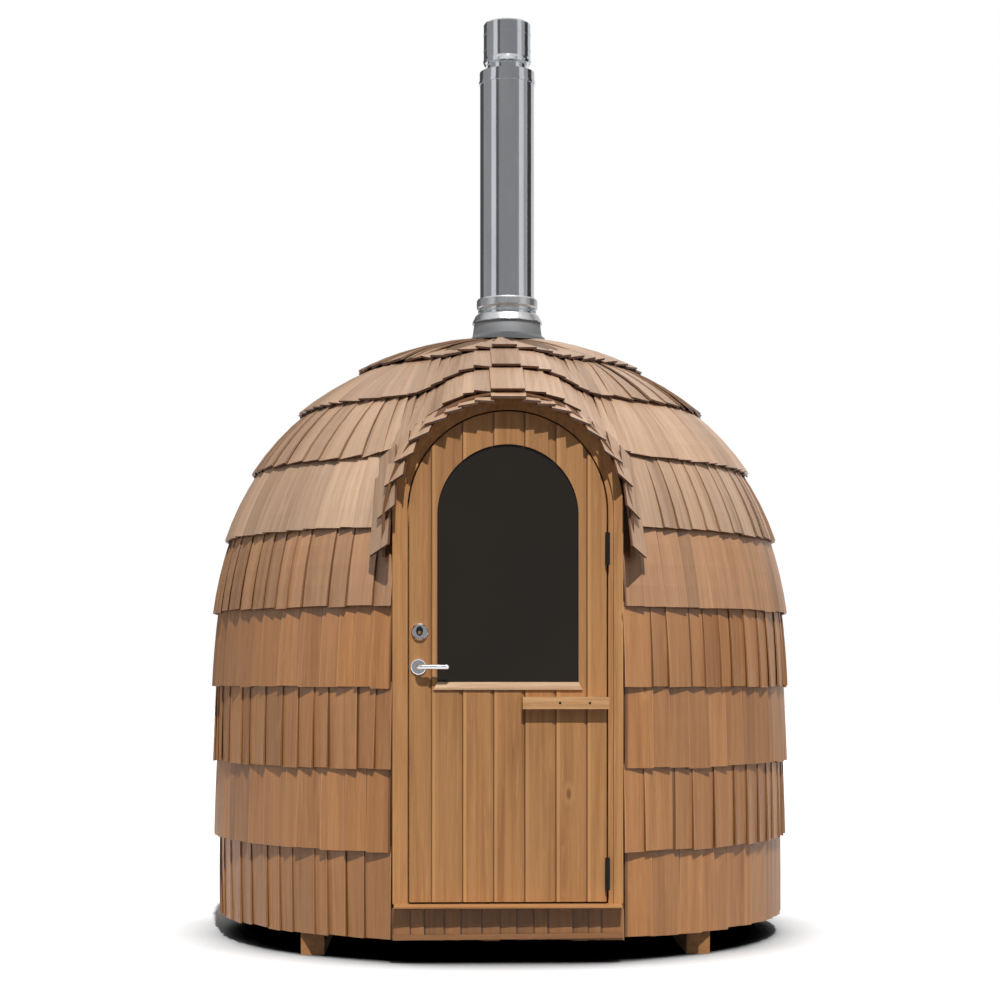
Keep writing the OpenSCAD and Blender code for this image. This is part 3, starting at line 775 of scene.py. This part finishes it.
class Wood:
    """Figure of one softwood board on (across, through, along) metres: slow growth bands
    bent by a noise, pale sapwood streaks, fine fibres and a few small knots."""

    def __init__(self, tree, vector, knots=1.0):
        self.tree = tree
        bend = noise(tree, vector, (4.0, 4.0, 0.8), 2.0)
        rings = noise(tree, vector, (42.0, 42.0, 1.5), 3.0, 0.6, 0.5)
        self.bands = maths(tree, "ADD", product(tree, rings, 0.72), product(tree, bend, 0.38))
        self.fibre = noise(tree, vector, (420.0, 420.0, 10.0), 2.0, 0.7)
        flecks = noise(tree, vector, (70.0, 70.0, 7.0), 2.0, 0.5, 0.3)
        self.streak = grey(tree, flecks, [(0.60, 0.0), (0.70, 1.0)])
        spots = add(tree, "ShaderNodeTexVoronoi", Vector=stretched(tree, vector, (6.5, 6.5, 3.0)),
                    Scale=1.0)
        chance = add(tree, "ShaderNodeSeparateColor", Color=spots.outputs["Color"]).outputs[0]
        rare = maths(tree, "GREATER_THAN", chance, 1.0 - 0.42 * knots)
        core = grey(tree, spots.outputs["Distance"], [(0.030, 1.0), (0.062, 0.0)])
        halo = grey(tree, spots.outputs["Distance"], [(0.055, 0.0), (0.085, 1.0), (0.17, 0.0)])
        self.knot = product(tree, rare, core)
        self.halo = product(tree, rare, halo)

    def colour(self, base):
        """The figure in one stain."""
        tree = self.tree
        made = ramp(tree, self.bands, [(0.32, tinted(base, 0.70, 0.63, 0.58)), (0.52, base),
                                       (0.74, tinted(base, 1.22, 1.27, 1.36))])
        made = blend(tree, "MIX", product(tree, self.streak, 0.30), made,
                     tinted(base, 1.34, 1.42, 1.56))
        fibre = ramp(tree, self.fibre, [(0.35, (0.64, 0.60, 0.56)), (0.6, (1, 1, 1))])
        made = blend(tree, "MULTIPLY", 0.30, made, fibre)
        made = blend(tree, "MIX", product(tree, self.halo, 0.42), made,
                     tinted(base, 1.35, 1.45, 1.60))
        return blend(tree, "MIX", product(tree, self.knot, 0.75), made,
                     tinted(base, 0.42, 0.34, 0.28))

    def finish(self, shader, colour, rough, gloss, tone, tone_gain):
        """Colour, bump and gloss on a shader; a tone makes the colour lighter by a part of
        tone_gain."""
        tree = self.tree
        if tone is not None:
            gain = maths(tree, "ADD", 1.0, product(tree, tone, tone_gain))
            even = add(tree, "ShaderNodeCombineColor", Red=gain, Green=gain, Blue=gain).outputs[0]
            colour = blend(tree, "MULTIPLY", 1.0, colour, even)
        height = maths(tree, "ADD", product(tree, self.fibre, 0.5), self.bands)
        bump = add(tree, "ShaderNodeBump", Strength=0.4, Distance=0.0014, Height=height)
        worn = grey(tree, self.bands, [(0.35, rough * 1.15), (0.7, rough * 0.88)])
        feed(tree, shader, Base_Color=colour, Normal=bump.outputs[0], Roughness=worn,
             Specular_IOR_Level=gloss)


def attribute(tree, name, output):
    """One of a piece's own attributes."""
    node = tree.nodes.new("ShaderNodeAttribute")
    node.attribute_name = name
    return node.outputs[output]


def shingle_wood(colours):
    """Stained wood that follows each shingle's own grain, tone and greying attributes: at
    0 the fresh stain, at 1 the greyed one, which is part weathering and part painted
    sheen, and above 1 painted shade darkens it. The rim attribute gives a painted shade
    line along the lapped edge and a painted highlight along the proud one, and the end
    attribute painted shade on end grain and edges."""
    material = bpy.data.materials.get("shingle_wood")
    if material:
        return material
    material, tree, shader = new_material("shingle_wood")
    stain, grey_stain_and_sheen = tuple(colours.shingle), tuple(colours.weathered_and_sheen)
    wood = Wood(tree, attribute(tree, "grain", "Vector"))
    weather_sheen_shade = attribute(tree, "weather_sheen_shade", "Fac")
    # Up to 1 the greying value mixes in the greyed stain: part weathering, part painted sheen.
    colour = blend(tree, "MIX", maths(tree, "MINIMUM", weather_sheen_shade, 1.0), wood.colour(stain),
                   wood.colour(grey_stain_and_sheen))
    # Above 1 it mixes in painted shade that darkens the top courses.
    beyond = maths(tree, "MAXIMUM", maths(tree, "SUBTRACT", weather_sheen_shade, 1.0), 0.0)
    dark = maths(tree, "MULTIPLY", beyond, 1.2, clamp=True)
    colour = blend(tree, "MIX", dark, colour, tinted(grey_stain_and_sheen, 0.3, 0.27, 0.25))
    across = maths(tree, "ADD", product(tree, attribute(tree, "rim", "Fac"), 0.5), 0.5)
    # A painted shade line along the lapped edge.
    painted_gap_shade = grey(tree, across, [(0.075, 0.72), (0.105, 0.0)])
    colour = blend(tree, "MIX", painted_gap_shade, colour, tinted(stain, 0.20, 0.14, 0.11))
    # A painted highlight along the proud edge, in the bead's colour.
    worn = grey(tree, across, [(0.962, 0.0), (0.985, 0.26)])
    colour = blend(tree, "MIX", worn, colour, tuple(colours.bead))
    # Painted shade on end grain and edges.
    colour = blend(tree, "MIX", attribute(tree, "end", "Fac"), colour,
                   tinted(stain, 0.22, 0.16, 0.13))
    wood.finish(shader, colour, 0.45, 0.6, attribute(tree, "tone", "Fac"), 0.085)
    return material


# Width of the door's boards, and the joint they are counted from, left of the leaf.
DOOR_BOARD = 0.1135
FIRST_JOINT = 0.0595 - DOOR_BOARD * 4


def board_wood(name, colour, along="Z", pitch=0.0, knots=1.0):
    """Stained wood on Object coordinates with its grain along one axis, in boards of the
    given pitch across X if it has one. Then every board takes its own place in the
    figure, and its left joint gets painted shade in its groove and a painted highlight
    on the bevel beside it."""
    material, tree, shader = new_material(name)
    where = coords(tree)
    turn = {"Z": (0, 0, 0), "X": (0, np.pi / 2, 0), "Y": (np.pi / 2, 0, 0)}[along]
    vector = add(tree, "ShaderNodeMapping", Vector=where, Rotation=turn).outputs[0]
    tone = None
    if pitch:
        x = add(tree, "ShaderNodeSeparateXYZ", Vector=where).outputs[0]
        place = maths(tree, "DIVIDE", maths(tree, "SUBTRACT", x, FIRST_JOINT), pitch)
        number = tree.nodes.new("ShaderNodeTexWhiteNoise")
        number.noise_dimensions = "1D"
        feed(tree, number, W=maths(tree, "FLOOR", place))
        far = stretched(tree, number.outputs["Color"], (31.0, 17.0, 23.0))
        vector = add(tree, "ShaderNodeVectorMath", i0=vector, i1=far).outputs[0]
        tone = maths(tree, "SUBTRACT", number.outputs["Value"], 0.5)
    wood = Wood(tree, vector, knots)
    shown = wood.colour(colour)
    if pitch:
        part = maths(tree, "FRACT", place)
        # The joint's groove gets painted shade, and the bevel beside it a painted highlight.
        painted_slot_shade = grey(tree, part, [(0.000, 0.75), (0.030, 0.75), (0.045, 0.0)])
        painted_bevel_highlight = grey(tree, part, [(0.045, 0.0), (0.055, 0.4), (0.13, 0.35), (0.15, 0.0)])
        shown = blend(tree, "MIX", painted_bevel_highlight, shown, tinted(colour, 1.6, 1.8, 2.0))
        shown = blend(tree, "MIX", painted_slot_shade, shown, tinted(colour, 0.22, 0.16, 0.12))
    wood.finish(shader, shown, 0.5, 0.4, tone, 0.14)
    return material


def metal(name, colour, rough):
    """Metal with a faint rolled streak in its roughness."""
    material, tree, shader = new_material(name)
    where = coords(tree)
    rolled = noise(tree, where, (90.0, 90.0, 2.0), 3.0)
    cloud = noise(tree, where, (9.0, 9.0, 3.0), 3.0)
    feed(tree, shader, Metallic=1.0,
         Roughness=grey(tree, rolled, [(0.3, rough * 0.8), (0.7, rough * 1.2)]),
         Base_Color=ramp(tree, cloud, [(0.3, tinted(colour, 0.86, 0.87, 0.88)), (0.7, colour)]))
    return material


def flashing_steel():
    """Dull grey steel with painted shade on the faces that look up, which are rougher too."""
    material = metal("grey_steel", (0.50, 0.51, 0.52), 0.45)
    tree = material.node_tree
    shader = tree.nodes["Principled BSDF"]
    rise = add(tree, "ShaderNodeSeparateXYZ", Vector=coords(tree, "Normal")).outputs[2]
    clean = shader.inputs["Base Color"].links[0].from_socket
    # Painted shade on the faces that look up.
    painted_shade_up = grey(tree, rise, [(0.10, 1.0), (0.15, 0.40)])
    feed(tree, shader, Base_Color=blend(tree, "MULTIPLY", 1.0, clean, painted_shade_up),
         Roughness=grey(tree, rise, [(0.10, 0.45), (0.15, 0.90)]))
    return material


def dark_glass(colours):
    """Tinted glazing that mirrors a little of the surroundings."""
    material, tree, shader = new_material("dark_glass")
    haze = noise(tree, coords(tree), (3.0,) * 3, 2.0)
    tint = tuple(colours.glass)
    feed(tree, shader, Roughness=0.08, IOR=1.30,
         Base_Color=ramp(tree, haze, [(0.3, tint), (0.7, tinted(tint, 1.2, 1.18, 1.16))]))
    return material


def black_paint():
    """Satin black coating with fine grain."""
    material = bpy.data.materials.get("black_paint")
    if material:
        return material
    material, tree, shader = new_material("black_paint")
    speck = noise(tree, coords(tree), (900.0,) * 3, 2.0)
    feed(tree, shader, Roughness=0.5, Specular_IOR_Level=0.12,
         Base_Color=grey(tree, speck, [(0.3, 0.008), (0.7, 0.018)]))
    return material


def finish(material, *nodes):
    """Give CAD nodes a material."""
    for name in nodes:
        data = bpy.data.objects[name].data
        data.materials.clear()
        data.materials.append(material)


class SAUNA_OT_finishes(bpy.types.Operator):
    """Materials of the parts that keep their CAD shape"""
    bl_idname = "sauna.finishes"
    bl_label = "Finishes"

    def execute(self, context):
        colours = context.scene.sauna_colours
        joinery, inner = tuple(colours.joinery), tuple(colours.inner)
        finish(board_wood("joinery_upright", tinted(joinery, 1.17, 1.2, 1.2)), "jamb_left",
               "jamb_right", "door_head")
        finish(board_wood("joinery_level", joinery, "X"), "door_sill", "threshold_beam",
               "floor_joists")
        finish(board_wood("bar_wood", tinted(joinery, 1.55, 1.85, 2.3), "X"), "stop_bar")
        finish(board_wood("skid_wood", tinted(joinery, 0.92, 0.9, 0.88), "Y"), "skids")
        finish(board_wood("door_boards", joinery, pitch=DOOR_BOARD), "door_leaf")
        # The hood's ribs and lining take a darker stain as painted shade under the hood.
        finish(board_wood("soffit_painted_shade", tinted(inner, 0.50, 0.38, 0.31)), "hood_ribs",
               "porch_lining")
        # The sheathing takes a dark stain as painted shade where it shows between the shingles.
        finish(board_wood("sheathing", tinted(inner, 0.42, 0.36, 0.3)), "wall_front_right",
               "wall_right", "wall_back", "wall_left", "wall_front_left", "dome_front",
               "dome_right", "dome_left", "crown")
        finish(board_wood("floor_boards", inner, "Y"), "floor_deck")
        finish(board_wood("bead_wood", tuple(colours.bead), "X", knots=0.0), "window_bead")
        finish(dark_glass(colours), "window_glass")
        finish(metal("flue_steel", (0.60, 0.615, 0.64), 0.12), "flue_pipe", "flue_cap")
        finish(metal("collar_steel", (0.56, 0.57, 0.58), 0.32), "flue_collars")
        finish(metal("chrome", (0.74, 0.75, 0.78), 0.10), "roses", "lever")
        finish(flashing_steel(), "flashing")
        finish(black_paint(), "hinge_knuckles", "hinge_pins")
        return {"FINISHED"}


# ---- stage

# Soft grey cards round the stage, seen only in the metal and the glass: from and to a
# turn in degrees, 0 in front and positive to the right, with the card's brightness.
CARDS = [(-180, -122, 0.10), (-122, -72, 0.40), (-70, -53, 0.95), (-50, -37, 0.14),
         (-37, 50, 0.36), (53, 70, 0.95), (72, 92, 0.50), (93, 122, 0.06), (124, 158, 0.85)]
CARD_R, CARD_FOOT, CARD_HEAD = 12, -1.0, 13.0
FLOOR_HALF = 60.0
SENSOR_W = 36
WHITE = (1, 1, 1, 1)


def glow(name, strength):
    """A plain glowing card."""
    material, tree, shader = new_material(name)
    tree.nodes.remove(shader)
    lamp = add(tree, "ShaderNodeEmission", Strength=strength, Color=WHITE)
    feed(tree, tree.nodes["Material Output"], Surface=lamp.outputs[0])
    return material


def stand_cards():
    """The cards, each an upright strip of a drum."""
    for number, (start, end, tone) in enumerate(CARDS):
        turn = np.radians(np.linspace(start, end, 9))[:, None]
        height = np.linspace(CARD_FOOT, CARD_HEAD, 3)[None]
        verts = np.stack([CARD_R * np.sin(turn) + 0 * height,
                          -CARD_R * np.cos(turn) + 0 * height, height + 0 * turn], axis=-1)
        card = make_mesh(f"card_{number}", verts.reshape(-1, 3), grid_faces(9, 3),
                         glow(f"card_{number}", tone))
        card.visible_camera = card.visible_diffuse = card.visible_shadow = False
        card.visible_transmission = card.visible_volume_scatter = False


def seen_directly(tree):
    """1 for rays from the camera or off a mirror or through glass, 0 for the rest."""
    path = tree.nodes.new("ShaderNodeLightPath")
    return maths(tree, "MAXIMUM", path.outputs["Is Camera Ray"],
                 maths(tree, "MAXIMUM", path.outputs["Is Glossy Ray"],
                       path.outputs["Is Transmission Ray"]))


def floor_paint():
    """White ground with a painted shadow where the object stands close, and it throws little
    light.
    """
    material, tree, shader = new_material("floor")
    near = add(tree, "ShaderNodeAmbientOcclusion", Distance=0.42)
    near.samples = 12
    # Painted shadow near the object, from ambient occlusion.
    painted_contact_shadow = grey(tree, near.outputs["AO"], [(0.30, 0.0), (0.62, 0.55), (0.90, 0.95)])
    shown = blend(tree, "MIX", seen_directly(tree), (0.12, 0.12, 0.12), painted_contact_shadow)
    feed(tree, shader, Base_Color=shown, Roughness=0.9, Specular_IOR_Level=0.0)
    return material


def white_sky(sizes):
    """White where it is seen. As a light it is fill + side_fill |x|^4, x sideways, so
    that its light comes mostly from both sides."""
    world = bpy.data.worlds.new("sky")
    world.use_nodes = True
    tree = world.node_tree
    seen = seen_directly(tree)
    towards = coords(tree, "Generated")
    sideways = add(tree, "ShaderNodeSeparateXYZ", Vector=towards).outputs[0]
    steep = maths(tree, "POWER", maths(tree, "ABSOLUTE", sideways), 4.0)
    lamp = maths(tree, "ADD", sizes.fill, product(tree, steep, sizes.side_fill))
    unseen = maths(tree, "SUBTRACT", 1.0, seen)
    strength = maths(tree, "MAXIMUM", seen, product(tree, lamp, unseen))
    feed(tree, tree.nodes["Background"], Color=WHITE, Strength=strength)
    return world


class SAUNA_OT_stage(bpy.types.Operator):
    """Floor, cards, light and camera"""
    bl_idname = "sauna.stage"
    bl_label = "Stage"

    def execute(self, context):
        sizes = context.scene.sauna_stage
        scene = context.scene
        scene.view_settings.view_transform = "Standard"
        ticks = np.linspace(-FLOOR_HALF, FLOOR_HALF, 3)
        x, y = np.meshgrid(ticks, ticks, indexing="ij")
        floor = make_mesh("floor", np.stack([x, y, 0 * x], axis=-1).reshape(-1, 3),
                          grid_faces(3, 3)[:, ::-1], floor_paint())
        stand_cards()

        sun = bpy.data.objects.new("sun", bpy.data.lights.new("sun", "SUN"))
        sun.data.energy = sizes.sun
        sun.data.angle = np.radians(1.0)
        sun.rotation_euler = (np.pi / 2 - sizes.sun_height, 0, sizes.sun_turn)
        scene.collection.objects.link(sun)
        scene.world = white_sky(sizes)

        camera = bpy.data.objects.new("camera", bpy.data.cameras.new("camera"))
        camera.data.lens = sizes.lens
        camera.data.sensor_width = SENSOR_W
        camera.data.shift_y = sizes.rise
        camera.location = (sizes.side, -sizes.distance, sizes.eye)
        camera.rotation_euler = (np.pi / 2, 0, -np.arctan2(-sizes.side, sizes.distance))
        scene.collection.objects.link(camera)
        scene.camera = camera
        return {"FINISHED"}


# ---- add-on

class SAUNA_PT_panel(bpy.types.Panel):
    """The sauna's sizes, colours and steps"""
    bl_label = "Igloo sauna"
    bl_idname = "SAUNA_PT_panel"
    bl_space_type = "VIEW_3D"
    bl_region_type = "UI"
    bl_category = "Sauna"

    def draw(self, context):
        for group in GROUPS:
            data = getattr(context.scene, group)
            column = self.layout.box()
            for key in data.__annotations__:
                column.prop(data, key)
        for operator in OPERATORS:
            self.layout.operator(operator.bl_idname)


OPERATORS = [SAUNA_OT_stage, SAUNA_OT_finishes, SAUNA_OT_courses, SAUNA_OT_lip, SAUNA_OT_band,
             SAUNA_OT_hardware]
GROUPS = {"sauna_shingles": ShingleSizes, "sauna_colours": SaunaColours, "sauna_stage": StageSizes}


def register():
    for cls in (*GROUPS.values(), *OPERATORS, SAUNA_PT_panel):
        bpy.utils.register_class(cls)
    for key, group in GROUPS.items():
        setattr(bpy.types.Scene, key, PointerProperty(type=group))


def unregister():
    for key in GROUPS:
        delattr(bpy.types.Scene, key)
    for cls in (SAUNA_PT_panel, *reversed(OPERATORS), *reversed(GROUPS.values())):
        bpy.utils.unregister_class(cls)


def main():
    register()
    bpy.ops.sauna.stage()
    bpy.ops.sauna.finishes()
    bpy.ops.sauna.courses()
    bpy.ops.sauna.lip()
    bpy.ops.sauna.band()
    bpy.ops.sauna.hardware()


if __name__ == "__main__":
    main()
